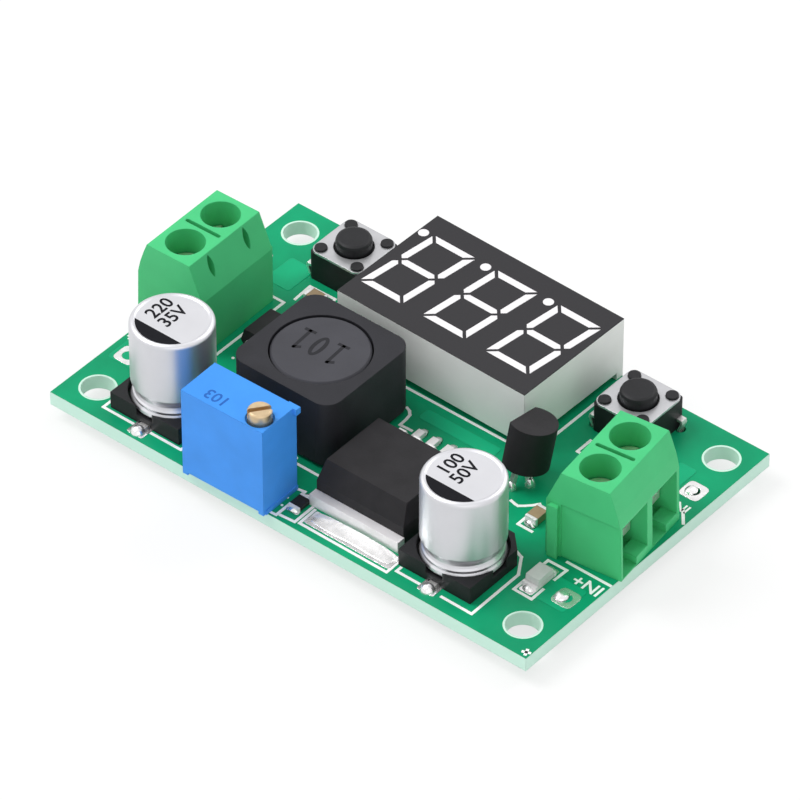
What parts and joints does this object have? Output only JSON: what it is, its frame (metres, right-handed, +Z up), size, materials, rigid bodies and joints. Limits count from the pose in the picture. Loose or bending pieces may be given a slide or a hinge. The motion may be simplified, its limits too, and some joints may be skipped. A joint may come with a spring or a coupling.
{
  "type": "buck converter module",
  "caption": "Step-down voltage converter board with screw terminals, shielded inductor, can capacitors, trimmer, digit display and push buttons.",
  "frame": {"origin": "centre of the four mounting holes on the board's underside", "axes": "+X along the board's long edge towards the input terminals, +Y towards the display's edge, +Z up out of the component side"},
  "size_m": [0.0572, 0.0367, 0.0141],
  "materials": {
    "board": "green solder mask",
    "terminal_green": "moulded",
    "tinned_metal": "tin plated",
    "solder": "bright",
    "aluminium_can": "satin",
    "black_plastic": "moulded",
    "ferrite": "sintered",
    "copper_wire": "enamelled",
    "blue_plastic": "moulded",
    "brass": "turned",
    "ceramic": "fired",
    "chip_ceramic": "fired",
    "display_grey": "moulded",
    "diffuser_white": "milky",
    "white_plastic": "moulded",
    "clear_resin": "clear"
  },
  "bodies": {
    "board": {"pcb": "board", "solder_joints": "solder", "out_terminal_housing": "terminal_green", "out_terminal_contacts": "tinned_metal", "in_terminal_housing": "terminal_green", "in_terminal_contacts": "tinned_metal", "out_capacitor_can": "aluminium_can", "out_capacitor_base": "black_plastic", "out_capacitor_leads": "tinned_metal", "in_capacitor_can": "aluminium_can", "in_capacitor_base": "black_plastic", "in_capacitor_leads": "tinned_metal", "inductor_shield": "ferrite", "inductor_core": "ferrite", "inductor_winding": "copper_wire", "inductor_terminals": "tinned_metal", "regulator_body": "black_plastic", "regulator_leadframe": "tinned_metal", "diode_body": "black_plastic", "diode_leads": "tinned_metal", "trimmer_housing": "blue_plastic", "trimmer_base": "blue_plastic", "trimmer_pins": "tinned_metal", "trimmer_element": "ceramic", "meter_regulator_body": "black_plastic", "meter_regulator_leads": "tinned_metal", "display_case": "display_grey", "display_bars": "diffuser_white", "display_pins": "tinned_metal", "meter_chip_body": "black_plastic", "meter_chip_leads": "tinned_metal", "left_button_base": "black_plastic", "left_button_cover": "tinned_metal", "left_button_dome": "tinned_metal", "left_button_leads": "tinned_metal", "right_button_base": "black_plastic", "right_button_cover": "tinned_metal", "right_button_dome": "tinned_metal", "right_button_leads": "tinned_metal", "chip_resistors": "black_plastic", "chip_capacitors": "chip_ceramic", "chip_ends": "tinned_metal", "power_led": "clear_resin"},
    "out_plus_screw": {"out_plus_screw": "tinned_metal"},
    "out_minus_screw": {"out_minus_screw": "tinned_metal"},
    "in_plus_screw": {"in_plus_screw": "tinned_metal"},
    "in_minus_screw": {"in_minus_screw": "tinned_metal"},
    "out_plus_cage": {"out_plus_cage": "tinned_metal"},
    "out_minus_cage": {"out_minus_cage": "tinned_metal"},
    "in_plus_cage": {"in_plus_cage": "tinned_metal"},
    "in_minus_cage": {"in_minus_cage": "tinned_metal"},
    "left_button": {"left_button_plunger": "black_plastic"},
    "right_button": {"right_button_plunger": "black_plastic"},
    "trimmer_adjuster": {"trimmer_screw": "brass"},
    "trimmer_carriage": {"trimmer_slider": "white_plastic", "trimmer_wiper": "brass"}
  },
  "joints": [
    {"name": "out_plus_turn", "type": "hinge", "parent": "board", "child": "out_plus_screw", "pos_m": [-0.02471, -0.00239, 0.0079], "axis": [0, 0, 1], "range_deg": [0, 1280]},
    {"name": "out_plus_clamp", "type": "slide", "parent": "board", "child": "out_plus_cage", "axis": [0, 0, -1], "range_m": [0, 0.0016]},
    {"name": "out_minus_turn", "type": "hinge", "parent": "board", "child": "out_minus_screw", "pos_m": [-0.02479, 0.00269, 0.0079], "axis": [0, 0, 1], "range_deg": [0, 1280]},
    {"name": "out_minus_clamp", "type": "slide", "parent": "board", "child": "out_minus_cage", "axis": [0, 0, -1], "range_m": [0, 0.0016]},
    {"name": "in_plus_turn", "type": "hinge", "parent": "board", "child": "in_plus_screw", "pos_m": [0.0243, -0.00252, 0.0079], "axis": [0, 0, 1], "range_deg": [0, 1280]},
    {"name": "in_plus_clamp", "type": "slide", "parent": "board", "child": "in_plus_cage", "axis": [0, 0, -1], "range_m": [0, 0.0016]},
    {"name": "in_minus_turn", "type": "hinge", "parent": "board", "child": "in_minus_screw", "pos_m": [0.0237, 0.00252, 0.0079], "axis": [0, 0, 1], "range_deg": [0, 1280]},
    {"name": "in_minus_clamp", "type": "slide", "parent": "board", "child": "in_minus_cage", "axis": [0, 0, -1], "range_m": [0, 0.0016]},
    {"name": "left_press", "type": "slide", "parent": "board", "child": "left_button", "axis": [0, 0, -1], "range_m": [0, 0.00025], "stiffness_N_per_m": 4000, "springref_m": -0.0001},
    {"name": "right_press", "type": "slide", "parent": "board", "child": "right_button", "axis": [0, 0, -1], "range_m": [0, 0.00025], "stiffness_N_per_m": 4000, "springref_m": -0.0001},
    {"name": "trimmer_turn", "type": "hinge", "parent": "board", "child": "trimmer_adjuster", "pos_m": [-0.00342, -0.01675, 0.011], "axis": [0, 0, 1], "range_deg": [-4500, 4500]},
    {"name": "trimmer_travel", "type": "slide", "parent": "board", "child": "trimmer_carriage", "axis": [0, 0, -1], "range_m": [-0.002, 0.002]}
  ],
  "couplings": [
    {"joint": "out_plus_turn", "follows": "out_plus_clamp", "rad_per_m": 13963},
    {"joint": "out_minus_turn", "follows": "out_minus_clamp", "rad_per_m": 13963},
    {"joint": "in_plus_turn", "follows": "in_plus_clamp", "rad_per_m": 13963},
    {"joint": "in_minus_turn", "follows": "in_minus_clamp", "rad_per_m": 13963},
    {"joint": "trimmer_turn", "follows": "trimmer_travel", "rad_per_m": 39270}
  ]
}
